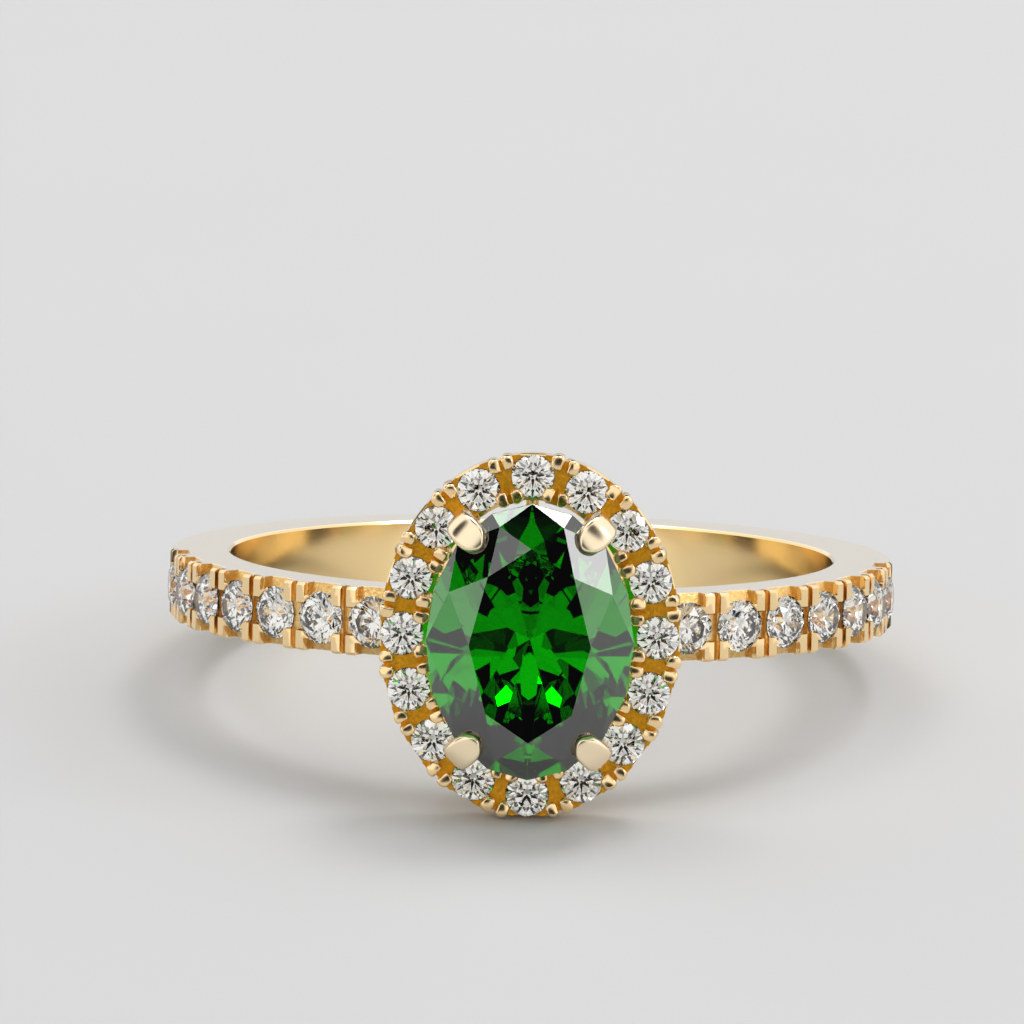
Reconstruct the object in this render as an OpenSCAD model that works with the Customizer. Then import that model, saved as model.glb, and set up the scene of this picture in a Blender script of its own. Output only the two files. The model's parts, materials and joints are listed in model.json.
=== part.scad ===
// Oval halo cocktail ring, lying on its side as it rests on a table.
// Units are millimetres. The origin is the centre of the finger hole, +X runs across
// the ring, the head faces -Y and +Z is up from the table.

/* [Band] */
// Inside diameter of the finger hole
finger_d = 18.1; // [15:0.1:21]
// Width of the band along the finger
band_w = 2.0; // [1.8:0.1:2.6]
// Radial thickness of the band up to its prong tops
band_t = 1.8; // [1.7:0.1:2.2]
// Rounding of the band's long edges, cut as a chamfer
band_edge = 0.08; // [0.05:0.01:0.15]

/* [Centre stone] */
// Width of the oval stone
stone_w = 6.0; // [5.5:0.1:6.5]
// Length of the oval stone, along the finger
stone_l = 8.0; // [7.5:0.1:8.5]
// Height of the stone's girdle above the finger
stone_lift = 4.5; // [4.2:0.05:5]

/* [Halo] */
// Number of stones round the halo
halo_count = 16; // [16:2:18]
// Diameter of a halo stone
halo_d = 1.25; // [1.1:0.05:1.35]
// Half width of the line through the halo stones
halo_a = 3.7; // [3.66:0.02:3.9]
// Half length of the line through the halo stones
halo_b = 4.64; // [4.6:0.02:4.8]
// Height of the halo stones' girdles above the finger
halo_lift = 3.05; // [2.9:0.05:3.3]
// Width of the halo frame
halo_w = 1.28; // [1.2:0.02:1.32]
// Extra width of the frame on its inner side
halo_inner = 0.1; // [0:0.02:0.12]

/* [Shoulders] */
// Number of stones on each shoulder
shoulder_count = 7; // [3:1:8]
// Diameter of a shoulder stone
shoulder_d = 1.55; // [1.3:0.05:1.6]
// Angle from the head to the first shoulder stone
first_angle = 25.5; // [25:0.1:28]
// Angle from one shoulder stone to the next
pitch_angle = 9.55; // [9.3:0.05:11]

/* [Claws] */
// Diameter of a claw's wire
claw_d = 0.84; // [0.7:0.02:0.9]
// Place of the claws round the oval, from its long end
claw_angle = 38; // [34:1:42]

/* [Hidden] */
gold = [0.93, 0.74, 0.44];
bright = [0.96, 0.80, 0.55];
clear = [0.92, 0.94, 0.97];
green = [0.02, 0.45, 0.12];
$fn = 48;
gap = 0.01;                                // light between a stone and the metal round it
finger_r = finger_d / 2;
band_r = finger_r + band_t;                // radius of the shoulders' prong tops
prong_h = 0.2;                             // how far those stand above the girdles
shoulder_seat_r = band_r - prong_h;        // radius at which the shoulder girdles lie
recess_r = 0.42;                           // sunk floor between two shoulder stones
slot_w = 0.2;                              // slot between two prongs of a pair
slot_depth = 0.32;                         // its depth below the prong tops
light_hole_r = 0.35;                       // light hole behind each shoulder stone
shoulder_cut = 0.04;                       // depth of the cut beside a stone at its inner edge
shoulder_fall = 38;                        // and how steeply it falls outwards

halo_seat = finger_r + halo_lift;          // height of the halo girdles above the axis
halo_floor = halo_seat - 0.7;              // underside of the halo frame
halo_prong_r = 0.19;                       // one of the halo's small prongs
halo_prong_h = 0.24;                       // its height above the frame
prong_out = 0.46;                          // its place from the middle of a gap, outwards
prong_apart = 0.245;                       // and along the halo
halo_cut = 0.28;                           // depth of the cut beside a halo stone
halo_cut_in = 0.03;                        // how far inside the stone's edge it starts
groove_r = 0.09;                           // groove down the frame in each gap
stone_seat = finger_r + stone_lift;        // height of the centre stone's girdle
golden_turn = 137.5;                       // turn from one small stone to the next

saddle = finger_r + 1.1;                   // flat on the band where the gallery rail sits
rail_a = 2.35;                             // half width and half length of the gallery rail
rail_b = 3.15;
rail_w = 0.6;                              // section of the rail
rail_h = 0.5;
post_r = 0.2;
post_angles = [0, 66, 114, 180, 246, 294];

// The ring rests on the underside of the halo's lower end and on the back of its band.
rest_tilt = atan((halo_b + halo_w / 2 - band_w / 2) / (halo_floor + band_r));

side_names = ["left", "right"];
claw_names = ["upper_right", "lower_right", "lower_left", "upper_left"];
claw_places = [claw_angle, 180 - claw_angle, 180 + claw_angle, 360 - claw_angle];
function two_digits(n) = n < 10 ? str("0", n) : str(n);
function halo_name(i) = str("halo_stone_", two_digits(i + 1));
function shoulder_name(side, i) = str("shoulder_stone_", side_names[side], "_", i + 1);

// ---- places ----

// A point of an oval, with t = 0 at its long end and t = 90 at its right side.
function oval(a, b, t) = [a * sin(t), b * cos(t)];
// The direction that faces straight out of the oval there.
function oval_out(a, b, t) = atan2(cos(t) / b, sin(t) / a);
// The outline d outside an oval, as n points.
function oval_outline(a, b, d, n = 96) = [for (i = [0 : n - 1])
    let (t = 360 * i / n, o = oval_out(a, b, t)) oval(a, b, t) + d * [cos(o), sin(o)]];
// Length walked along the halo's line against t, to space its stones evenly.
halo_walk = [for (t = 0, s = 0; t <= 360;
    s = s + norm(oval(halo_a, halo_b, t + 1) - oval(halo_a, halo_b, t)), t = t + 1) [s, t]];
halo_length = halo_walk[360][0];
function halo_t(place) = lookup(halo_length * place / halo_count, halo_walk);

// Children drawn with +Z away from the finger, at the centre of the head.
module on_head(height = 0) rotate([90, 0, 0]) translate([0, 0, height]) children();

// Children drawn with +X straight out of the halo and +Z away from the finger.
module on_halo(place, height) {
    t = halo_t(place);
    on_head(height) translate(oval(halo_a, halo_b, t))
        rotate(oval_out(halo_a, halo_b, t)) children();
}

// Children drawn with +X along the band, +Y across it and +Z away from the finger.
module on_band(angle, radius) rotate(angle) translate([0, -radius, 0]) rotate([90, 0, 0]) children();

// The way the ring lies on a table.
module at_rest() rotate([-rest_tilt, 0, 0]) children();

// ---- stones ----

// A plane through p that leans from p towards q and is level along the direction side.
// Returned as [normal, distance].
function plane(p, q, side) = let (n = cross(q - p, side)) [n, n * p];
// The point at height z that lies on two planes.
function meet(k, m, z) = let (
    c = k[1] - k[0].z * z,
    d = m[1] - m[0].z * z,
    w = k[0].x * m[0].y - k[0].y * m[0].x)
    [(c * m[0].y - d * k[0].y) / w, (k[0].x * d - m[0].x * c) / w, z];

// The corners of a brilliant cut. It has girdle half axes a and b and table half axes ta
// and tb, and its girdle's lower edge is at z = 0. Points 0-7 are the table, 8-15 the
// stars' tips, 16-31 and 32-47 the girdle's edges, 48-55 the lower facets' tips and 56
// the culet.
function brilliant_points(a, b, ta, tb, crown, girdle, pavilion) = let (
    top = crown + girdle,
    culet = [0, 0, -pavilion],
    table = [for (i = [0 : 7]) [each oval(ta, tb, 45 * i), top]],
    upper = [for (i = [0 : 15]) [each oval(a, b, 22.5 * i), girdle]],
    lower = [for (i = [0 : 15]) [each oval(a, b, 22.5 * i), 0]],
    along = [for (i = [0 : 7]) [a * cos(45 * i), -b * sin(45 * i), 0]],
    over = [for (i = [0 : 7]) plane(table[i], upper[2 * i], along[i])],
    under = [for (i = [0 : 7]) plane(culet, lower[2 * i], along[i])],
    stars = [for (i = [0 : 7]) meet(over[i], over[(i + 1) % 8], girdle + crown * 0.52)],
    lows = [for (i = [0 : 7]) meet(under[i], under[(i + 1) % 8], -pavilion * 0.78)])
    concat(table, stars, upper, lower, lows, [culet]);

// The faces of a brilliant cut: table, stars, kites, upper girdle facets, girdle, lower
// girdle facets and pavilion mains.
brilliant_faces = concat(
    [[7, 6, 5, 4, 3, 2, 1, 0]],
    [for (i = [0 : 7]) [i, (i + 1) % 8, 8 + i]],
    [for (i = [0 : 7]) [i, 8 + i, 16 + 2 * i, 8 + (i + 7) % 8]],
    [for (i = [0 : 7]) [8 + i, 17 + 2 * i, 16 + 2 * i]],
    [for (i = [0 : 7]) [8 + i, 16 + (2 * i + 2) % 16, 17 + 2 * i]],
    [for (i = [0 : 15]) let (n = (i + 1) % 16) [16 + i, 16 + n, 32 + n, 32 + i]],
    [for (i = [0 : 7]) [48 + i, 32 + 2 * i, 33 + 2 * i]],
    [for (i = [0 : 7]) [48 + i, 33 + 2 * i, 32 + (2 * i + 2) % 16]],
    [for (i = [0 : 7]) [56, 48 + (i + 7) % 8, 32 + 2 * i, 48 + i]]);

function round_points(d) =
    brilliant_points(d / 2, d / 2, d * 0.28, d * 0.28, d * 0.15, d * 0.03, d * 0.43);
centre_points = brilliant_points(stone_w / 2, stone_l / 2, stone_w * 0.292, stone_l * 0.35,
    stone_w * 0.155, 0.12, stone_w * 0.42);

// Stones are set as they come to hand, so each is turned by a different amount.
module round_stone(d, number) color(clear) rotate(number * golden_turn)
    polyhedron(round_points(d), brilliant_faces);

module centre_stone() color(green) on_head(stone_seat) polyhedron(centre_points, brilliant_faces);

// The hole that a round stone is set in: a light hole, a cone under the stone, room for
// its girdle, and a mouth that leaves the prongs a lip over the crown.
module seat(d, hole_r, depth) {
    r = d / 2 + gap;
    lip = 0.1;
    cone = r - hole_r;
    rotate_extrude() polygon([
        [0, -depth], [hole_r, -depth], [hole_r, -cone * 0.9], [r, 0], [r, d * 0.03 + gap],
        [r - lip, d * 0.03 + lip * 0.75], [r - lip, 1], [0, 1]]);
}

// ---- cuts round a stone ----

// The slot between the two prongs of each pair, across the band.
module prong_slot() translate([-slot_w / 2, -band_w, prong_h - slot_depth])
    cube([slot_w, 2 * band_w, 1]);

// The cut beside a stone that opens it to the side between two prongs. It starts at
// height z and falls away outwards.
module scallop(edge, z, fall, width) rotate([90, 0, 0]) translate([0, 0, -width / 2])
    linear_extrude(width) polygon([[edge, 1], [edge, z], [edge + 1, z - tan(fall)], [edge + 1, 1]]);

// ---- metal ----

module band_blank() rotate_extrude() polygon([
    [finger_r, -band_w / 2 + band_edge], [finger_r + band_edge, -band_w / 2],
    [band_r - band_edge, -band_w / 2], [band_r, -band_w / 2 + band_edge],
    [band_r, band_w / 2 - band_edge], [band_r - band_edge, band_w / 2],
    [finger_r + band_edge, band_w / 2], [finger_r, band_w / 2 - band_edge]]);

function stone_turn(side, i) = side * (first_angle + pitch_angle * i);

// The outer layer of the band over one shoulder's row of stones.
module shoulder_layer(side, grow = 0)
    rotate(-90 + min(stone_turn(side, -0.5), stone_turn(side, shoulder_count - 0.5)))
        rotate_extrude(angle = pitch_angle * shoulder_count)
            translate([shoulder_seat_r, -band_w / 2 - grow]) square([band_t, band_w + 2 * grow]);

module shoulder_cuts(side) {
    for (i = [0 : shoulder_count - 1]) on_band(stone_turn(side, i), shoulder_seat_r) {
        seat(shoulder_d, light_hole_r, band_t + 0.5);
        for (turn = [90, -90]) rotate(turn)
            scallop(shoulder_d * 0.4, -shoulder_cut, shoulder_fall, shoulder_d * 0.64);
    }
    for (i = [1 : shoulder_count - 1]) on_band(stone_turn(side, i - 0.5), shoulder_seat_r) prong_slot();
}

module shank() color(gold) difference() {
    band_blank();
    on_head(saddle) translate([-rail_a - 0.65, -band_w, 0]) cube([2 * rail_a + 1.3, 2 * band_w, 2]);
    for (side = [-1, 1]) {
        shoulder_layer(side, 1);
        shoulder_cuts(side);
    }
}

// The prongs left standing on one shoulder: four in each gap between two stones, and two
// at each end of the row.
module shoulder_prongs(side) color(bright) difference() {
    intersection() {
        band_blank();
        shoulder_layer(side);
    }
    shoulder_cuts(side);
    for (i = [0 : shoulder_count]) on_band(stone_turn(side, i - 0.5), shoulder_seat_r)
        translate([0, 0, -0.5]) cylinder(r = recess_r, h = 2);
}

module gallery_rail() color(gold) on_head(saddle) difference() {
    linear_extrude(rail_h) polygon(oval_outline(rail_a, rail_b, rail_w / 2));
    translate([0, 0, -1]) linear_extrude(rail_h + 2) polygon(oval_outline(rail_a, rail_b, -rail_w / 2));
    for (place = claw_places) claw_wire(place, claw_d / 2 + gap / 2);
}

// A straight round rod from p to q.
module rod(p, q, r1, r2) {
    v = q - p;
    translate(p) rotate([0, acos(v.z / norm(v)), atan2(v.y, v.x)])
        cylinder(h = norm(v), r1 = r1, r2 = r2);
}

module gallery_posts() color(gold) on_head() for (t = post_angles) {
    low = [each oval(rail_a, rail_b, t), saddle + rail_h - 0.12];
    high = [each oval(halo_a - 0.35, halo_b - 0.35, t), halo_floor + 0.12];
    difference() {
        rod(low, high, post_r, post_r);
        translate([-8, -8, saddle + rail_h - 1]) cube([16, 16, 1]);
        translate([-8, -8, halo_floor]) cube([16, 16, 1]);
    }
}

module halo_seats() for (i = [0 : halo_count - 1]) on_halo(i, halo_seat)
    seat(halo_d, light_hole_r * 0.8, 1);

module halo_frame() color(gold) difference() {
    on_head(halo_floor) linear_extrude(halo_seat - halo_floor)
        polygon(oval_outline(halo_a, halo_b, halo_w / 2));
    on_head(halo_floor - 1) linear_extrude(halo_seat - halo_floor + 2)
        polygon(oval_outline(halo_a, halo_b, -halo_w / 2 - halo_inner));
    halo_seats();
    for (i = [0 : halo_count - 1]) {
        on_halo(i, halo_seat) for (turn = [0, 180])
            rotate(turn) scallop(halo_d / 2 - halo_cut_in, -halo_cut, 45, halo_d * 0.6);
        on_halo(i + 0.5, halo_floor - 1) translate([halo_w / 2 + 0.02, 0, 0])
            cylinder(r = groove_r, h = 3);
    }
    on_head(saddle) for (place = claw_places) claw_wire(place, claw_d / 2 + gap / 2);
}

// True where a claw stands in a gap of the halo, so that the gap has no inner prongs.
function claw_in_gap(i) = let (t = halo_t(i + 0.5), p = oval(halo_a - 0.6, halo_b - 0.6, t))
    min([for (c = claw_places) norm(oval(stone_w / 2 - 0.1, stone_l / 2 - 0.1, c) - p)]) < 0.6;

// Small posts with rounded tips, in pairs on both sides of each gap.
module halo_prongs() color(bright) difference() {
    for (i = [0 : halo_count - 1], x = claw_in_gap(i) ? [1] : [-1, 1], y = [-1, 1])
        on_halo(i + 0.5, halo_seat) translate([x * prong_out, y * prong_apart, 0])
            rotate_extrude() polygon([
                [0, 0], [halo_prong_r, 0], [halo_prong_r, halo_prong_h * 0.4],
                [halo_prong_r * 0.85, halo_prong_h * 0.7], [halo_prong_r * 0.5, halo_prong_h * 0.93],
                [0, halo_prong_h]]);
    halo_seats();
}

// A claw is drawn from the saddle's height up. Its wire leans out from the rail to the
// girdle, where it bends over the crown.
function claw_foot(place) = [each oval(rail_a, rail_b, place), 0];
function claw_bend(place) = [each oval(stone_w / 2 + 0.13, stone_l / 2 + 0.13, place),
    stone_seat - saddle + 0.1];
function claw_tip(place) = [each oval(stone_w / 2 - 0.32, stone_l / 2 - 0.4, place),
    stone_seat - saddle + 0.42];
module claw_wire(place, r) rod(claw_foot(place), claw_bend(place), r, r);

// How far the centre stone reaches in a direction, with a little light.
function reach(direction) = max([for (p = centre_points) direction * p]) + gap;

// The notch that is cut in a claw for the stone's edge, square to the stone there.
module claw_notch(place) {
    out = oval_out(stone_w / 2, stone_l / 2, place);
    face = [cos(out), sin(out), 0];
    over = face * sin(36) + [0, 0, cos(36)];
    under = face * sin(42) - [0, 0, cos(42)];
    x = reach(face);
    deep = x - 3;
    rotate(out) rotate([90, 0, 0]) translate([0, 0, -4]) linear_extrude(8) polygon([
        [x, (reach(over) - x * sin(36)) / cos(36)],
        [deep, (reach(over) - deep * sin(36)) / cos(36)],
        [deep, (deep * sin(42) - reach(under)) / cos(42)],
        [x, (x * sin(42) - reach(under)) / cos(42)]]);
}

module claw(place) color(bright) difference() {
    on_head(saddle) {
        claw_wire(place, claw_d / 2);
        rod(claw_bend(place), claw_tip(place), claw_d / 2 - 0.01, 0.13);
        translate(claw_bend(place)) sphere(claw_d / 2 + 0.01);
        translate(claw_tip(place)) sphere(0.14);
    }
    on_head(saddle - 1) translate([-8, -8, 0]) cube([16, 16, 1]);
    on_head(stone_seat) claw_notch(place);
}

// ---- the object ----

at_rest() shank();
for (side = [0, 1])
    at_rest()
        shoulder_prongs(2 * side - 1);
at_rest() gallery_rail();
at_rest() gallery_posts();
at_rest() halo_frame();
at_rest() halo_prongs();
at_rest() centre_stone();
for (c = [0 : 3])
    at_rest() claw(claw_places[c]);
for (i = [0 : halo_count - 1])
    at_rest() on_halo(i, halo_seat) round_stone(halo_d, i);
for (side = [0, 1], i = [0 : shoulder_count - 1])
    at_rest()
        on_band(stone_turn(2 * side - 1, i), shoulder_seat_r)
            round_stone(shoulder_d, halo_count + shoulder_count * side + i);
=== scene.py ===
# %% [markdown]
# # An oval halo ring, resting on a table
#
# The ring has a slim gold band, an open gallery, a halo of small round stones and one large
# oval green stone in four claws. The solid parts come from the frame, in metres, with the
# centre of the finger hole at the origin and the ring lying as it does on the table. Here it
# gets its light, its camera, its prongs and claws, its gold and its stones.

# %% Load the frame
import json
import math

import bmesh
import bpy
from mathutils import Matrix, Vector


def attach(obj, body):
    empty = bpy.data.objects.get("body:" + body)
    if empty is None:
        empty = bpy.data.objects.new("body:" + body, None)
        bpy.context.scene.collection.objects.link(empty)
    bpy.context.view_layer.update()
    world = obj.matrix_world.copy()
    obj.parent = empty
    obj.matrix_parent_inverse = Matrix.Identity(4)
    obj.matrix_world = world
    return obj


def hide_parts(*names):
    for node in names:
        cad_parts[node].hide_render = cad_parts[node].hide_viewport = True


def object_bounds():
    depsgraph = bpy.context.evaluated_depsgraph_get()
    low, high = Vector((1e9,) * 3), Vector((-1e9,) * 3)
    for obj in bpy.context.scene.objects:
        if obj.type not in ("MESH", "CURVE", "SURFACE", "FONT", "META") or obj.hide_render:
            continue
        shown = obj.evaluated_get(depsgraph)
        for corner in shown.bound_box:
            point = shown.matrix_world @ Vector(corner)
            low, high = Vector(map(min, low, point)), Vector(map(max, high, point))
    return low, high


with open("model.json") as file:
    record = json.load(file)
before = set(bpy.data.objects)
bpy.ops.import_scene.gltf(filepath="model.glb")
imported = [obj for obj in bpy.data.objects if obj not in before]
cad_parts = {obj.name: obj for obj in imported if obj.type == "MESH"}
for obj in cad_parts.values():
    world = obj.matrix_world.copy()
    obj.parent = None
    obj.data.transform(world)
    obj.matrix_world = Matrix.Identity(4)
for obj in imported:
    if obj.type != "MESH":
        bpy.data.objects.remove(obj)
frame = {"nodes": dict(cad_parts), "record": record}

cad_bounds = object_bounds()
nodes = frame["nodes"]
MM = 0.001
print("CAD nodes:", len(nodes), "box in mm:", [[round(c / MM, 2) for c in p] for p in cad_bounds])

# %% [markdown]
# ## The ring's own directions
#
# The band is tipped back a little, because the halo's end and the back of the band both touch
# the table. Everything on the ring is easier to place in the ring's own directions: +X across,
# -Y out through the head, +Z along the finger hole. The finger hole's mount in the record says
# how far the ring is tipped, so one matrix turns ring places into frame places. A second one
# does the same for the head, where the third number is the height above the finger hole's axis.

# %% Ring directions from the finger hole
bore = next(m for m in frame["record"]["mounts"] if m["name"] == "finger_bore")
bore_axis = Vector(bore["axis"]).normalized()
rest_tilt = math.atan2(bore_axis.y, bore_axis.z)
ring_to_frame = Matrix.Rotation(-rest_tilt, 4, "X")
head_to_frame = ring_to_frame @ Matrix.Rotation(math.pi / 2, 4, "X")
head_out = head_to_frame.to_3x3() @ Vector((0, 0, 1))
print("tipped back by", round(math.degrees(rest_tilt), 2), "degrees")


def head_points(name):
    """A node's points in millimetres: right, up along the finger, away from the finger."""
    back = head_to_frame.inverted()
    return [back @ (v.co / MM) for v in nodes[name].data.vertices]


def middle(points, axis):
    values = [p[axis] for p in points]
    return (min(values) + max(values)) / 2


# %% [markdown]
# ## Camera
#
# The view is that of a long macro lens, a little above the table and square to the head. Its
# distance of 300 mm is a choice, and others would do nearly as well. Such a lens keeps the halo
# and the far side of the band at nearly the same scale. The camera looks just above the finger
# hole, and is rolled by one degree.

# %% Camera
VIEW_DISTANCE = 0.30
VIEW_LENS = 350.4
VIEW_RISE = math.radians(6.76) + rest_tilt
VIEW_ROLL = math.radians(1.05)
AIM_RIGHT, AIM_UP = -0.61 * MM, 2.23 * MM

scene = bpy.context.scene


def put(name, data):
    """A new object in the scene."""
    thing = bpy.data.objects.new(name, data)
    scene.collection.objects.link(thing)
    return thing


view_back = Vector((0, -math.cos(VIEW_RISE), math.sin(VIEW_RISE)))
view_right = Vector((1, 0, 0))
view_up = view_back.cross(view_right)
camera_data = bpy.data.cameras.new("camera")
camera_data.lens = VIEW_LENS
camera_data.sensor_width = 36
camera_data.clip_start = 0.01
camera = put("camera", camera_data)
eye = view_back * VIEW_DISTANCE
look = view_right * AIM_RIGHT + view_up * AIM_UP - eye
camera.rotation_euler = (look.to_track_quat("-Z", "Y").to_matrix().to_4x4()
                         @ Matrix.Rotation(VIEW_ROLL, 4, "Z")).to_euler()
camera.location = eye
scene.camera = camera
print("camera at", [round(c, 4) for c in eye])

# %% [markdown]
# ## Node helpers
#
# A material here is a Principled shader with a few small patterns in front of it. A pattern that
# several finishes share is made once, as a node group with named sockets, and each finish gives
# it values of its own. A few short helpers keep the code that builds them readable.


# %% Helpers that add nodes
def add(tree, kind, values=None, **settings):
    """A new node, with its own settings, and its inputs linked or given plain values."""
    node = tree.nodes.new(kind)
    for name, value in settings.items():
        setattr(node, name, value)
    for socket, value in (values or {}).items():
        if isinstance(value, bpy.types.NodeSocket):
            tree.links.new(value, node.inputs[socket])
        else:
            node.inputs[socket].default_value = value
    return node


def math_node(tree, operation, *values, clamp=False):
    return add(tree, "ShaderNodeMath", dict(enumerate(values)), operation=operation,
               use_clamp=clamp).outputs[0]


def ramp_between(tree, value, start, end, low=0.0, high=1.0):
    """Goes smoothly from low to high as value goes from start to end."""
    return add(tree, "ShaderNodeMapRange", {"Value": value, "From Min": start, "From Max": end,
               "To Min": low, "To Max": high}, interpolation_type="SMOOTHSTEP").outputs[0]


def mix_colours(tree, amount, first, second, blend="MIX"):
    """Inputs 0, 6 and 7 of a Mix node are its factor and its two colours, output 2 is a colour."""
    return add(tree, "ShaderNodeMix", {0: amount, 6: first, 7: second}, data_type="RGBA",
               blend_type=blend).outputs[2]


def new_group(name, inputs, outputs):
    """A shader node group with named sockets, and its two end nodes."""
    tree = bpy.data.node_groups.new(name, "ShaderNodeTree")
    for label, kind, value in inputs:
        socket = tree.interface.new_socket(label, in_out="INPUT", socket_type=kind)
        if value is not None:
            socket.default_value = value
    for label, kind in outputs:
        tree.interface.new_socket(label, in_out="OUTPUT", socket_type=kind)
    return tree, tree.nodes.new("NodeGroupInput"), tree.nodes.new("NodeGroupOutput")


def new_material(name):
    material = bpy.data.materials.new(name)
    material.use_nodes = True
    return material, material.node_tree, material.node_tree.nodes["Principled BSDF"]


def use_group(tree, group, values):
    return add(tree, "ShaderNodeGroup", values, node_tree=group)


# %% [markdown]
# ## Table and light
#
# The ring lies on matt white paper in a bright room. Polished metal and cut stones show little
# but what is round them, so the surroundings matter more than the lamps: white walls, a brighter
# ceiling towards the back, and five dark patches. The patches give the stones their black facets
# and the gold its dark glints. Three soft boxes, two overhead and one at the right, throw soft
# shadows under the band and make a few facets flash.

# %% Table
PAPER_HALF = 3.0
PAPER_CORNERS = ((-1, -1), (1, -1), (1, 1), (-1, 1))
PAPER_DULL = (0.625, 0.625, 0.626, 1)
PAPER_WHITE = (0.64, 0.64, 0.641, 1)

scene.view_settings.view_transform = "Standard"
paper, tree, shader = new_material("white_paper")
where = tree.nodes.new("ShaderNodeTexCoord").outputs["Object"]
fibres = add(tree, "ShaderNodeTexNoise", {"Vector": where, "Scale": 2500.0, "Detail": 4.0})
clouds = add(tree, "ShaderNodeTexNoise", {"Vector": where, "Scale": 60.0, "Detail": 2.0})
bump = add(tree, "ShaderNodeBump", {"Height": fibres.outputs[0], "Strength": 0.15,
                                    "Distance": 0.03 * MM})
tree.links.new(bump.outputs[0], shader.inputs["Normal"])
tree.links.new(mix_colours(tree, clouds.outputs[0], PAPER_DULL, PAPER_WHITE),
               shader.inputs["Base Color"])
shader.inputs["Roughness"].default_value = 0.75
shader.inputs["Specular IOR Level"].default_value = 0.2
mesh = bpy.data.meshes.new("table")
low = cad_bounds[0][2]
mesh.from_pydata([(x * PAPER_HALF, y * PAPER_HALF, low) for x, y in PAPER_CORNERS],
                 [], [(0, 1, 2, 3)])
mesh.materials.append(paper)
table = put("table", mesh)
print("table at", round(low / MM, 3), "mm")


# %% Soft boxes
BOX_DISTANCE = 0.5


def soft_box(name, direction, width, brightness):
    """A square light seen from the ring in that direction, so many degrees wide."""
    place = Vector(direction).normalized() * BOX_DISTANCE
    side = 2 * BOX_DISTANCE * math.tan(math.radians(width / 2))
    data = bpy.data.lights.new(name, "AREA")
    data.shape = "SQUARE"
    data.size = side
    data.energy = math.pi * side * side * brightness
    lamp = put(name, data)
    lamp.location = place
    lamp.rotation_euler = (-place).to_track_quat("-Z", "Y").to_euler()
    print(name, "at", [round(c, 3) for c in place], round(data.energy, 3), "W")


soft_box("window_right", (0.28, 0.33, 0.90), 17, 8.0)
soft_box("window_left", (-0.30, 0.33, 0.89), 13, 3.2)
soft_box("side_right", (0.81, -0.23, 0.54), 15, 3.6)

# %% Room
ROOM_SIDES = (1.08, 1.075, 1.07, 1)
ROOM_CEILING = (1.45, 1.45, 1.46, 1)
ROOM_DARK = (0.02, 0.02, 0.021, 1)
# Each zone is a direction, the angle from it up to which the zone is full, and where it ends,
# in degrees.
CEILING_ZONE = (Vector((0, 0.45, 0.89)), 20, 38)
DARK_ZONES = {
    "in front, low": (Vector((0, -0.99, 0.12)), 11, 19),
    "in front, up at the right": (Vector((0.43, -0.62, 0.66)), 10, 18),
    "overhead": (Vector((0, -0.16, 0.98)), 12, 20),
    "doorway behind": (Vector((0, 0.86, 0.51)), 16, 27),
    "at the left": (Vector((-0.80, -0.18, 0.57)), 10, 24),
}

room = bpy.data.worlds.new("room")
scene.world = room
room.use_nodes = True
tree = room.node_tree
direction = tree.nodes.new("ShaderNodeTexCoord").outputs["Generated"]


def zone(centre, inner, outer):
    """1 within the inner angle of a direction, 0 beyond the outer one."""
    towards = add(tree, "ShaderNodeVectorMath", {0: direction, 1: tuple(centre.normalized())},
                  operation="DOT_PRODUCT").outputs["Value"]
    return ramp_between(tree, towards, math.cos(math.radians(outer)),
                        math.cos(math.radians(inner)))


walls = mix_colours(tree, zone(*CEILING_ZONE), ROOM_SIDES, ROOM_CEILING)
dark = 0.0
for dark_zone in DARK_ZONES.values():
    dark = math_node(tree, "MAXIMUM", dark, zone(*dark_zone))
background = tree.nodes["Background"]
tree.links.new(mix_colours(tree, dark, walls, ROOM_DARK), background.inputs["Color"])
background.inputs["Strength"].default_value = 1.0
print("dark patches:", ", ".join(DARK_ZONES))

# %% [markdown]
# ## Gold
#
# The whole ring is one alloy, a warm pale gold, but it shows two finishes. The sides of the band,
# the claws and the prongs' tips were polished. The floors between the stones can't be reached
# with a mop, so they keep the grainy, rougher skin of the casting; their darker, deeper yellow is
# painted shade, for the shade and gold-on-gold light in these recesses. Both come from one group:
# it makes the fine waves and hair lines of polishing, and mixes in the cast skin and its painted
# shade where a mask says so. The mask comes from places on the ring, because the cast floors are
# at known distances from the finger hole. The band's flat sides have a paler colour than the rest.
# That is a choice of look, a painted reflection of the white room, and not another alloy. The
# claws' gold is paler and the prongs' a little brighter: painted highlights on the same alloy.

# %% Group: gold skin
POLISHED = (0.95, 0.72, 0.37, 1)
# CAST_SKIN_SHADE is painted shade: the cast floors' darker, deeper yellow stands in for the shade
# and the gold-on-gold light in the recesses.
CAST_SKIN_SHADE = (0.80, 0.38, 0.025, 1)
# SIDE_PAINTED_SHEEN is a painted reflection: the band's flat sides are made paler to stand in for
# the white room that they mirror.
SIDE_PAINTED_SHEEN = (0.95, 0.86, 0.70, 1)
CAST_ROUGHNESS = 0.30
GRAIN_DARK = (0.45, 0.42, 0.35, 1)
GRAIN_LIGHT = (1.35, 1.32, 1.25, 1)

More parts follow.
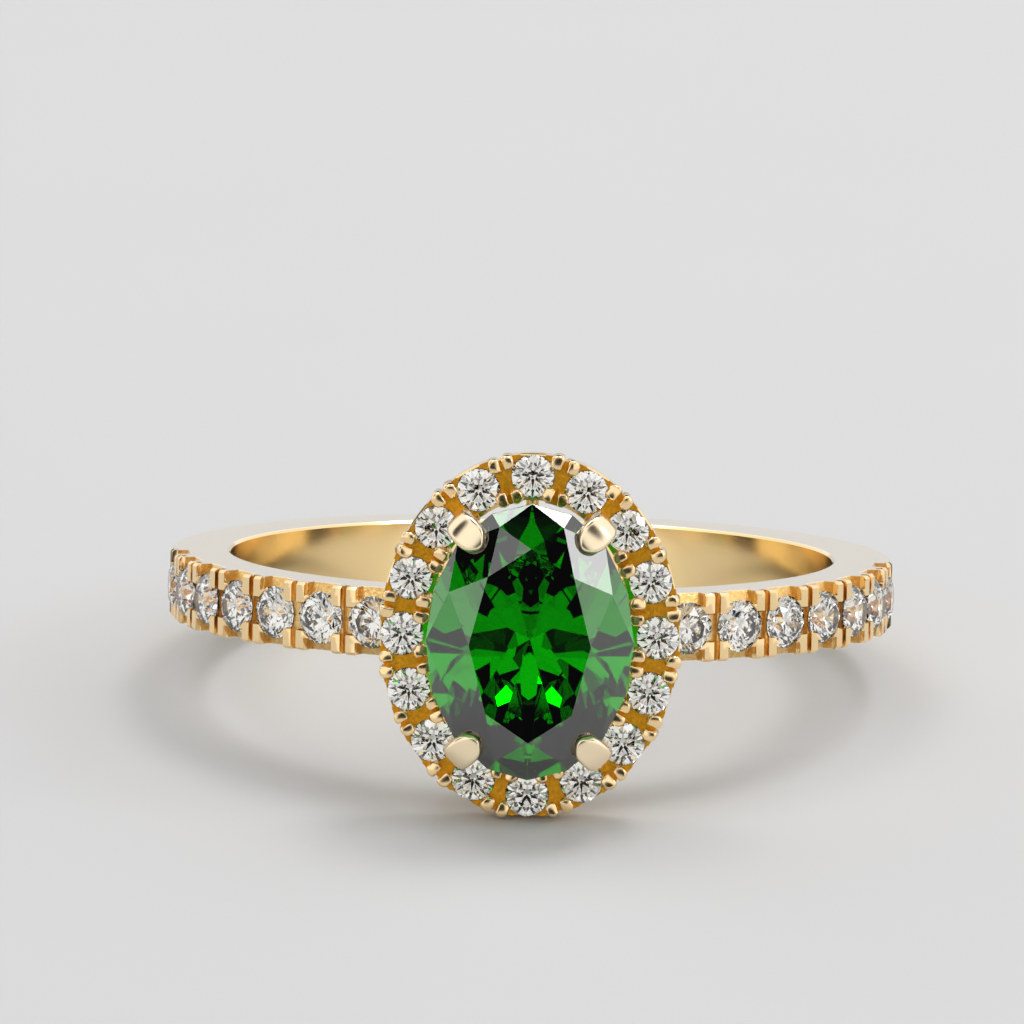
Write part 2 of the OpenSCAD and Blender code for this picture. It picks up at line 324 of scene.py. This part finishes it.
gold_skin, start, end = new_group(
    "gold_skin",
    [("Vector", "NodeSocketVector", None), ("Cast", "NodeSocketFloat", 0.0),
     ("Polished Colour", "NodeSocketColor", POLISHED), ("Cast Shade Colour", "NodeSocketColor", CAST_SKIN_SHADE),
     ("Waves", "NodeSocketFloat", 0.08), ("Polished Roughness", "NodeSocketFloat", 0.10)],
    [("Color", "NodeSocketColor"), ("Roughness", "NodeSocketFloat"),
     ("Normal", "NodeSocketVector")])
tree = gold_skin
waves = add(tree, "ShaderNodeTexNoise", {"Vector": start.outputs["Vector"], "Scale": 900.0,
                                         "Detail": 3.0, "Roughness": 0.55}).outputs[0]
grain = add(tree, "ShaderNodeTexNoise", {"Vector": start.outputs["Vector"], "Scale": 9000.0,
                                         "Detail": 4.0, "Roughness": 0.6}).outputs[0]
stretched = add(tree, "ShaderNodeMapping", {"Vector": start.outputs["Vector"],
                                            "Scale": (1.0, 1.0, 9.0)}).outputs[0]
hair_lines = add(tree, "ShaderNodeTexNoise", {"Vector": stretched, "Scale": 2600.0,
                                              "Detail": 2.0}).outputs[0]
cast = start.outputs["Cast"]
# The grainy cast colour is mixed in where the mask says, as painted shade over the rougher skin.
uneven = mix_colours(tree, grain, GRAIN_DARK, GRAIN_LIGHT)
cast_shade_colour = mix_colours(tree, 1.0, start.outputs["Cast Shade Colour"], uneven, blend="MULTIPLY")
tree.links.new(mix_colours(tree, cast, start.outputs["Polished Colour"], cast_shade_colour),
               end.inputs["Color"])
polished_roughness = math_node(tree, "MULTIPLY_ADD", hair_lines, 0.05,
                               start.outputs["Polished Roughness"])
tree.links.new(ramp_between(tree, cast, 0.0, 1.0, polished_roughness, CAST_ROUGHNESS),
               end.inputs["Roughness"])
fine_bump = add(tree, "ShaderNodeBump", {"Height": waves, "Strength": start.outputs["Waves"],
                                         "Distance": 0.02 * MM})
grain_bump = add(tree, "ShaderNodeBump", {"Height": grain, "Distance": 0.03 * MM,
                                          "Normal": fine_bump.outputs[0],
                                          "Strength": math_node(tree, "MULTIPLY", cast, 0.8)})
tree.links.new(grain_bump.outputs[0], end.inputs["Normal"])
print("gold_skin has", len(tree.nodes), "nodes")

# %% Group: masks for the cast, shaded floors and the pale sides
# Three masks in one group: between two distances from the finger hole's axis, within a width
# along it, and above a height on the head. A finish uses the ones that it needs.
SOFT_EDGE = 0.02 * MM

floor_and_side_masks, start, end = new_group(
    "floor_and_side_masks",
    [("Vector", "NodeSocketVector", None), ("Inner Radius", "NodeSocketFloat", 0.0),
     ("Outer Radius", "NodeSocketFloat", 1.0), ("Half Width", "NodeSocketFloat", 1.0),
     ("Height", "NodeSocketFloat", -1.0)],
    [("Mask", "NodeSocketFloat")])
tree = floor_and_side_masks
turned = add(tree, "ShaderNodeMapping", {"Vector": start.outputs["Vector"],
                                         "Rotation": (rest_tilt, 0, 0)}).outputs[0]
axes = add(tree, "ShaderNodeSeparateXYZ", {0: turned}).outputs
across_squared = math_node(tree, "MULTIPLY", axes[0], axes[0])
outward_squared = math_node(tree, "MULTIPLY", axes[1], axes[1])
radius = math_node(tree, "SQRT", math_node(tree, "ADD", across_squared, outward_squared))


def above(value, limit):
    """1 where the value is above the limit and 0 where it is below, with a soft edge."""
    step = math_node(tree, "DIVIDE", math_node(tree, "SUBTRACT", value, limit), SOFT_EDGE)
    return math_node(tree, "ADD", step, 0.5, clamp=True)


mask = math_node(tree, "MULTIPLY", above(radius, start.outputs["Inner Radius"]),
                 above(start.outputs["Outer Radius"], radius))
mask = math_node(tree, "MULTIPLY", mask,
                 above(start.outputs["Half Width"], math_node(tree, "ABSOLUTE", axes[2])))
outwards = math_node(tree, "MULTIPLY", axes[1], -1.0)
mask = math_node(tree, "MULTIPLY", mask, above(outwards, start.outputs["Height"]))
tree.links.new(mask, end.inputs["Mask"])
print("floor_and_side_masks has", len(tree.nodes), "nodes")


# %% Gold finishes
def gold(name, polished=POLISHED, cast_shade_colour=CAST_SKIN_SHADE, waves=0.08, roughness=0.10, cast=None,
         sides=None):
    """Polished gold; cast gives the limits of the cast floors, as the group names them; their
    darker cast colour is painted shade. sides is a paler colour, a painted reflection of the white
    room, and the half width beyond which the flat sides have it.
    """
    material, tree, shader = new_material(name)
    where = tree.nodes.new("ShaderNodeTexCoord").outputs["Object"]
    skin = use_group(tree, gold_skin, {
        "Vector": where, "Polished Colour": polished, "Cast Shade Colour": cast_shade_colour,
        "Waves": waves, "Polished Roughness": roughness})
    if cast:
        floors = use_group(tree, floor_and_side_masks, {"Vector": where, **cast})
        tree.links.new(floors.outputs["Mask"], skin.inputs["Cast"])
    if sides:
        between = use_group(tree, floor_and_side_masks, {"Vector": where, "Half Width": sides[1]})
        # Beyond the half width, the paler colour paints the white room's reflection onto the flat
        # sides.
        tree.links.new(mix_colours(tree, between.outputs["Mask"], sides[0], polished),
                       skin.inputs["Polished Colour"])
    for socket, target in (("Color", "Base Color"), ("Roughness", "Roughness"),
                           ("Normal", "Normal")):
        tree.links.new(skin.outputs[socket], shader.inputs[target])
    shader.inputs["Metallic"].default_value = 1.0
    return material


band_outer = max(p.xy.length for p in (ring_to_frame.inverted() @ (v.co / MM)
                                       for v in nodes["shank"].data.vertices))
band_half = max(abs(p.y) for p in head_points("shank"))
halo_top = max(p.z for p in head_points("halo_frame"))
print("band's outer radius", round(band_outer, 3), "half width", round(band_half, 3),
      "halo floor at", round(halo_top, 3))

# In millimetres: the cast floors lie between two depths below the band's outside, and end just
# short of its flat sides. On the halo they reach a little way down from its top. Both get the
# darker cast colour, which is painted shade.
FLOOR_DEEPEST, FLOOR_HIGHEST = 0.75, 0.1
SIDE_MARGIN = 0.015
HALO_FLOOR_DEPTH = 0.05
# The band's cast floors get a lighter painted shade than the halo's.
BAND_CAST_SKIN_SHADE = (0.90, 0.60, 0.24, 1)
# The prongs' slightly brighter gold and the claws' paler gold are painted highlights: the same
# alloy, made lighter where the lamps catch it.
PRONG_HIGHLIGHT_GOLD = (1.0, 0.74, 0.40, 1)
CLAW_HIGHLIGHT_GOLD = (1.0, 0.83, 0.57, 1)

flat_side = (band_half - SIDE_MARGIN) * MM
band_gold = gold("band_gold", cast_shade_colour=BAND_CAST_SKIN_SHADE, sides=(SIDE_PAINTED_SHEEN, flat_side), cast={
    "Inner Radius": (band_outer - FLOOR_DEEPEST) * MM,
    "Outer Radius": (band_outer - FLOOR_HIGHEST) * MM, "Half Width": flat_side})
halo_gold = gold("halo_gold", cast={"Inner Radius": 0.0,
                                    "Height": (halo_top - HALO_FLOOR_DEPTH) * MM})
gallery_gold = gold("gallery_gold")
prong_gold = gold("prong_gold", polished=PRONG_HIGHLIGHT_GOLD, waves=0.12, roughness=0.12)
claw_gold = gold("claw_gold", polished=CLAW_HIGHLIGHT_GOLD, waves=0.05, roughness=0.18)

# %% [markdown]
# ## Stones
#
# The stones are cut facet by facet in the frame, so here they only need light to pass through
# them. Clear stones bend light strongly and hardly colour it. The green one is coloured all
# through, so light that has gone further through it comes out deeper: an absorbing volume does
# that, and gives the pale, the bright and the nearly black greens of one stone. A little haze
# and a few marks on the polish keep the facets from looking like mathematics.

# %% Group: facet polish
facet_polish, start, end = new_group(
    "facet_polish", [("Vector", "NodeSocketVector", None), ("Roughest", "NodeSocketFloat", 0.02)],
    [("Roughness", "NodeSocketFloat")])
tree = facet_polish
smears = add(tree, "ShaderNodeTexNoise", {"Vector": start.outputs["Vector"], "Scale": 700.0,
                                          "Detail": 3.0}).outputs[0]
tree.links.new(ramp_between(tree, smears, 0.5, 0.8, 0.0, start.outputs["Roughest"]),
               end.inputs["Roughness"])
print("facet_polish has", len(tree.nodes), "nodes")


# %% Stone finishes
CLEAR_COLOUR, CLEAR_BEND = (1.0, 0.985, 0.93, 1), 2.4
GREEN_COLOUR, GREEN_BEND = (0.06, 1.0, 0.12, 1), 2.15
GREEN_DEPTH, GREEN_DENSITY = (0.0, 0.86, 0.04, 1), 950.0


def stone(name, colour, bend, roughest):
    material, tree, shader = new_material(name)
    where = tree.nodes.new("ShaderNodeTexCoord").outputs["Object"]
    polish = use_group(tree, facet_polish, {"Vector": where, "Roughest": roughest})
    tree.links.new(polish.outputs["Roughness"], shader.inputs["Roughness"])
    shader.inputs["Base Color"].default_value = colour
    shader.inputs["Transmission Weight"].default_value = 1.0
    shader.inputs["IOR"].default_value = bend
    return material


clear_stone = stone("clear_stone", CLEAR_COLOUR, CLEAR_BEND, 0.01)
green_stone = stone("green_stone", GREEN_COLOUR, GREEN_BEND, 0.02)
tree = green_stone.node_tree
absorb = add(tree, "ShaderNodeVolumeAbsorption", {"Color": GREEN_DEPTH,
                                                  "Density": GREEN_DENSITY})
tree.links.new(absorb.outputs[0], tree.nodes["Material Output"].inputs["Volume"])
print("stones:", clear_stone.name, "and", green_stone.name)

# %% Finishes onto the nodes
node_finish = {"shank": band_gold, "halo_frame": halo_gold, "gallery_rail": gallery_gold,
               "gallery_posts": gallery_gold, "centre_stone": green_stone}
slot_finish = {"clear_gem": clear_stone, "bright_gold": prong_gold}
for part in frame["record"]["subparts"]:
    cad = nodes[part["node"]]
    cad.data.materials.clear()
    cad.data.materials.append(node_finish.get(part["node"]) or slot_finish[part["material_slot"]])

# %% [markdown]
# ## The halo's prongs
#
# In each gap of the halo stand four small prongs, two on each side, and each leans over the edge
# of its stone. Under a claw there is only room for the outer two. They could be made one by one,
# but they are one shape that repeats round a path, so a Geometry Nodes tree sets them: a point
# for each prong carries the directions "outward" and "to_stone", the tree puts a prong on each,
# turned to them, and varies lean and size a little, as a file and a burnisher do.


# %% Where the halo's stones and gaps are
FOOT_SLICE = 0.02

halo_names = sorted(n for n in nodes if n.startswith("halo_stone_"))
claw_names = sorted(n for n in nodes if n.startswith("claw_"))
halo_places = [Vector((middle(p, 0), middle(p, 1))) for p in map(head_points, halo_names)]
halo_a = max(p.x for p in halo_places)
halo_b = max(p.y for p in halo_places)
stone_box = head_points("centre_stone")
stone_a = max(p.x for p in stone_box)
stone_b = max(p.y for p in stone_box)
print("halo line half axes", round(halo_a, 3), round(halo_b, 3),
      "centre stone", round(stone_a, 3), round(stone_b, 3))


def oval_place(a, b, turn):
    return Vector((a * math.sin(turn), b * math.cos(turn)))


def oval_outward(a, b, turn):
    return Vector((math.sin(turn) / a, math.cos(turn) / b)).normalized()


def claw_turn(name):
    """Where a claw stands round the oval, and the foot of its wire that this is taken from."""
    points = head_points(name)
    low = min(p.z for p in points)
    feet = [p for p in points if p.z < low + FOOT_SLICE]
    foot = sum(feet, Vector()) / len(feet)
    return math.atan2(foot.x / stone_a, foot.y / stone_b), foot


# %% One halo prong
# The prong is a short post with a rounded, flat-sided plan. Its slot side is straight, its stone
# side is round, and its top is a small flat with a soft rim, which is what a burnisher leaves.
# The plan is in millimetres, and each ring is a height and how much of the plan's size it has.
PRONG_PLAN = [(0.055, -0.18), (0.055, 0.18), (0.11, 0.23), (0.22, 0.245), (0.34, 0.20),
              (0.42, 0.10), (0.42, -0.10), (0.34, -0.20), (0.22, -0.245), (0.11, -0.23)]
PRONG_RINGS = [(-0.30, 1.00), (0.12, 1.00), (0.20, 0.96), (0.255, 0.87), (0.28, 0.75),
               (0.285, 0.66)]


def mesh_object(name, bm, material=None):
    bmesh.ops.recalc_face_normals(bm, faces=bm.faces)
    mesh = bpy.data.meshes.new(name)
    bm.to_mesh(mesh)
    bm.free()
    if material:
        mesh.materials.append(material)
    return put(name, mesh)


def plain_mesh(piece):
    """The mesh that a piece's modifiers give."""
    bpy.context.view_layer.update()
    solved = piece.evaluated_get(bpy.context.evaluated_depsgraph_get())
    return bpy.data.meshes.new_from_object(solved)


def stacked_rings(rings, closed_ends=True):
    """A bmesh skin over rings of equal length; its two ends may be closed."""
    bm = bmesh.new()
    rows = [[bm.verts.new(p) for p in ring] for ring in rings]
    for one, two in zip(rows, rows[1:]):
        for i in range(len(one)):
            k = (i + 1) % len(one)
            bm.faces.new((one[i], one[k], two[k], two[i]))
    if closed_ends:
        bm.faces.new(rows[0][::-1])
        bm.faces.new(rows[-1])
    return bm


def prong_mesh(plan, rings):
    """The plan, scaled about its middle at each ring's height."""
    cx = sum(p[0] for p in plan) / len(plan)
    cy = sum(p[1] for p in plan) / len(plan)
    stack = [[Vector((cx + (x - cx) * size, cy + (y - cy) * size, z)) * MM for x, y in plan]
             for z, size in rings]
    return stacked_rings(stack)


halo_prong = mesh_object("halo_prong", prong_mesh(PRONG_PLAN, PRONG_RINGS))
halo_prong.data.shade_smooth()
print("one halo prong:", len(halo_prong.data.polygons), "faces")


# %% The tree that sets prongs
def socket_id(tree, name):
    return next(i.identifier for i in tree.interface.items_tree
                if i.name == name and i.in_out == "INPUT")


PRONG_INPUTS = (
    ("Geometry", "NodeSocketGeometry", None), ("Prong", "NodeSocketObject", None),
    ("Metal", "NodeSocketMaterial", None), ("Lean", "NodeSocketFloat", 0.1),
    ("Smallest", "NodeSocketFloat", 0.92), ("Largest", "NodeSocketFloat", 1.06),
    ("Seed", "NodeSocketInt", 1))


def prong_tree():
    tree = bpy.data.node_groups.new("set_prongs", "GeometryNodeTree")
    for name, kind, value in PRONG_INPUTS:
        socket = tree.interface.new_socket(name, in_out="INPUT", socket_type=kind)
        if value is not None:
            socket.default_value = value
    tree.interface.new_socket("Geometry", in_out="OUTPUT", socket_type="NodeSocketGeometry")
    start = tree.nodes.new("NodeGroupInput").outputs
    end = tree.nodes.new("NodeGroupOutput")
    outward, to_stone = (add(tree, "GeometryNodeInputNamedAttribute", {"Name": name},
                             data_type="FLOAT_VECTOR") for name in ("outward", "to_stone"))
    facing = add(tree, "FunctionNodeAxesToRotation",
                 {0: outward.outputs[0], 1: to_stone.outputs[0]},
                 primary_axis="Z", secondary_axis="X")
    down = math_node(tree, "MULTIPLY", start["Lean"], -1.0)
    lean_low = add(tree, "ShaderNodeCombineXYZ", {0: down, 1: down, 2: down})
    lean_high = add(tree, "ShaderNodeCombineXYZ", {i: start["Lean"] for i in range(3)})
    lean = add(tree, "FunctionNodeRandomValue", {0: lean_low.outputs[0], 1: lean_high.outputs[0],
                                                 "Seed": start["Seed"]}, data_type="FLOAT_VECTOR")
    bent = add(tree, "FunctionNodeEulerToRotation", {0: lean.outputs[0]})
    turned = add(tree, "FunctionNodeRotateRotation", {0: facing.outputs[0], 1: bent.outputs[0]},
                 rotation_space="LOCAL")
    size = add(tree, "FunctionNodeRandomValue", {2: start["Smallest"], 3: start["Largest"],
                                                 "Seed": start["Seed"]}, data_type="FLOAT")
    shape = add(tree, "GeometryNodeObjectInfo", {"Object": start["Prong"]})
    placed = add(tree, "GeometryNodeInstanceOnPoints",
                 {"Points": start["Geometry"], "Instance": shape.outputs["Geometry"],
                  "Rotation": turned.outputs[0], "Scale": size.outputs[1]})
    solid = add(tree, "GeometryNodeRealizeInstances", {0: placed.outputs[0]})
    coated = add(tree, "GeometryNodeSetMaterial", {"Geometry": solid.outputs[0],
                                                   "Material": start["Metal"]})
    tree.links.new(coated.outputs[0], end.inputs[0])
    return tree


set_prongs = prong_tree()
print("set_prongs has", len(set_prongs.nodes), "nodes")


def set_along(name, points, values):
    """Runs set_prongs on points of (place, outward, to_stone), and returns a plain piece."""
    mesh = bpy.data.meshes.new(name + "_points")
    mesh.from_pydata([p[0] for p in points], [], [])
    for row, label in ((1, "outward"), (2, "to_stone")):
        attribute = mesh.attributes.new(label, "FLOAT_VECTOR", "POINT")
        attribute.data.foreach_set("vector", [c for p in points for c in p[row]])
    holder = put(name + "_points", mesh)
    modifier = holder.modifiers.new("set prongs", "NODES")
    modifier.node_group = set_prongs
    for label, value in values.items():
        modifier[socket_id(set_prongs, label)] = value
    shape = plain_mesh(holder)
    shape.name = name
    bpy.data.objects.remove(holder)
    return put(name, shape)


# %% Prongs round the halo
# In millimetres: how far the prongs stand outside and inside the line of the halo's stones, and
# how near to a claw there is no room for one.
PRONG_OUT = 0.46
PRONG_IN = 0.53
CLAW_REACH = 0.75


def halo_gap_points():
    """The place of each prong, the way it points and the way to its stone."""
    points = []
    frame_turn = head_to_frame.to_3x3()
    claw_places = [oval_place(stone_a, stone_b, claw_turn(n)[0]) for n in claw_names]
    for i, one in enumerate(halo_places):
        two = halo_places[(i + 1) % len(halo_places)]
        centre = (one + two) / 2
        turn = math.atan2(centre.x / halo_a, centre.y / halo_b)
        out = oval_outward(halo_a, halo_b, turn)
        centre = oval_place(halo_a, halo_b, turn)
        along = Vector((-out.y, out.x))
        for side in (1, -1):
            spot = centre + out * (PRONG_OUT if side > 0 else -PRONG_IN)
            if side < 0 and min((spot - c).length for c in claw_places) < CLAW_REACH:
                continue
            for step in (1, -1):
                place = head_to_frame @ Vector((spot.x, spot.y, halo_top))
                toward = frame_turn @ Vector((along.x * step, along.y * step, 0))
                points.append((place * MM, head_out, toward))
    return points


gaps = halo_gap_points()
halo_prongs = set_along("halo_prong_set", gaps, {"Prong": halo_prong, "Metal": prong_gold,
                                                 "Lean": 0.16, "Seed": 7})
bpy.data.objects.remove(halo_prong)
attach(halo_prongs, "root")
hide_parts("halo_prongs")
print("halo prongs:", len(gaps), "with", len(halo_prongs.data.polygons), "faces")

# %% [markdown]
# ## The shoulders' prongs
#
# The prongs along the shoulders are what is left of the band between the seats, the side cuts
# and the slots, in two rows with a gap along the middle. On a hand-finished ring their inner
# ends slope down towards the stones. A Boolean modifier cuts that slope on a copy of each set,
# and because a file leaves no knife edges, a Bevel modifier rounds what is left, so that every
# edge catches the light.

# %% Shoulder prongs with soft edges
PRONG_EDGE = 0.035 * MM
PRONG_EDGE_STEPS = 3
SAME_PLACE = 0.0005 * MM
FLAT_ENOUGH = math.radians(4)
SHARP_EDGE = math.radians(28)
# Each corner of the groove: its distance beyond the band's radius, and its place across.
GROOVE_PROFILE = [(-0.20, 0.30), (0.30, 0.62), (0.30, -0.62), (-0.20, -0.30)]
GROOVE_STEPS = 180


def groove_tool():
    """A ring along the middle of the band, wider outwards."""
    rings = []
    for step in range(GROOVE_STEPS):
        turn = 2 * math.pi * step / GROOVE_STEPS
        rings.append([ring_to_frame @ Vector(((band_outer + r) * math.cos(turn),
                                              (band_outer + r) * math.sin(turn), z)) * MM
                      for r, z in GROOVE_PROFILE])
    bm = stacked_rings(rings + rings[:1], closed_ends=False)
    bmesh.ops.remove_doubles(bm, verts=bm.verts, dist=SAME_PLACE)
    return mesh_object("groove_tool", bm)


def merged(mesh):
    """The mesh with its corners joined and its flat areas each made one face."""
    bm = bmesh.new()
    bm.from_mesh(mesh)
    bmesh.ops.remove_doubles(bm, verts=bm.verts, dist=SAME_PLACE)
    bmesh.ops.dissolve_limit(bm, angle_limit=FLAT_ENOUGH, verts=bm.verts, edges=bm.edges)
    return bm


def grooved(name, source):
    """A plain mesh of the node, with the groove cut out of it."""
    piece = mesh_object(name, merged(nodes[source].data))
    tool = groove_tool()
    cut = piece.modifiers.new("middle groove", "BOOLEAN")
    cut.operation = "DIFFERENCE"
    cut.solver = "EXACT"
    cut.object = tool
    shape = plain_mesh(piece)
    bpy.data.objects.remove(piece)
    bpy.data.objects.remove(tool)
    return shape


def softened(name, source):
    piece = mesh_object(name, merged(grooved(name, source)), prong_gold)
    piece.data.shade_smooth()
    bevel = piece.modifiers.new("soft edges", "BEVEL")
    bevel.width = PRONG_EDGE
    bevel.segments = PRONG_EDGE_STEPS
    bevel.limit_method = "ANGLE"
    bevel.angle_limit = SHARP_EDGE
    bevel.use_clamp_overlap = True
    bevel.harden_normals = True
    return piece


for side in ("left", "right"):
    source = "shoulder_prongs_" + side
    piece = softened("shoulder_prong_set_" + side, source)
    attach(piece, "root")
    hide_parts(source)
    print(piece.name, len(piece.data.polygons), "faces before rounding")

# %% [markdown]
# ## Claws
#
# Each claw is a round wire that rises from the gallery rail, passes the stone's edge and is pushed
# down over its crown, where it is filed to a shield with a soft point. A tube with a ball on its
# end would look like a pin, so the claw is a skin over rings: each ring is a flattened circle
# that follows the wire, turns over the stone's edge and narrows to the point. A Subdivision
# Surface then rounds it, as polishing does.

# %% Claw rings
# Distance from the stone's edge outwards, height above its girdle, half width, half thickness.
CLAW_STATIONS = [(0.20, -1.10, 0.40, 0.38), (0.17, -0.45, 0.42, 0.39), (0.13, -0.05, 0.45, 0.41),
                 (0.10, 0.24, 0.46, 0.36), (-0.06, 0.40, 0.46, 0.23), (-0.27, 0.50, 0.43, 0.17),
                 (-0.43, 0.58, 0.29, 0.12), (-0.56, 0.65, 0.06, 0.06)]
CLAW_FOOT = (0.40, 0.40)
CLAW_CORNERS = 12
CLAW_SQUARENESS = 0.45
CLAW_ROUNDING = 2
EDGE_SLICE = 0.01

stone_girdle = min(round(p.z, 3) for p in stone_box if abs(p.x) > stone_a - EDGE_SLICE)
print("girdle of the centre stone at", stone_girdle, "mm")


def claw_ring(centre, forward, side, half_width, half_thick):
    """A circle with its sides pressed flatter, square to the wire."""
    normal = forward.cross(side).normalized()
    ring = []
    for i in range(CLAW_CORNERS):
        turn = 2 * math.pi * i / CLAW_CORNERS
        c, s = math.cos(turn), math.sin(turn)
        c = math.copysign(abs(c) ** CLAW_SQUARENESS, c)
        s = math.copysign(abs(s) ** CLAW_SQUARENESS, s)
        ring.append(centre + side * c * half_width + normal * s * half_thick)
    return ring


def claw_piece(name):
    turn, foot = claw_turn(name)
    edge = oval_place(stone_a, stone_b, turn)
    out = oval_outward(stone_a, stone_b, turn)
    side = Vector((-out.y, out.x, 0))
    centres = [Vector(foot)]
    sizes = [CLAW_FOOT]
    for offset, height, width, thick in CLAW_STATIONS:
        centres.append(Vector((edge.x + out.x * offset, edge.y + out.y * offset,
                               stone_girdle + height)))
        sizes.append((width, thick))
    rings = []
    for i, centre in enumerate(centres):
        before = centres[max(i - 1, 0)]
        after = centres[min(i + 1, len(centres) - 1)]
        forward = (after - before).normalized()
        across = (side - forward * side.dot(forward)).normalized()
        ring = claw_ring(centre, forward, across, *sizes[i])
        rings.append([head_to_frame @ p * MM for p in ring])
    piece = mesh_object(name + "_filed", stacked_rings(rings), claw_gold)
    piece.data.shade_smooth()
    rounding = piece.modifiers.new("polished round", "SUBSURF")
    rounding.levels = rounding.render_levels = CLAW_ROUNDING
    return piece


for name in claw_names:
    piece = claw_piece(name)
    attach(piece, "root")
    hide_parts(name)
print("claws:", claw_names)
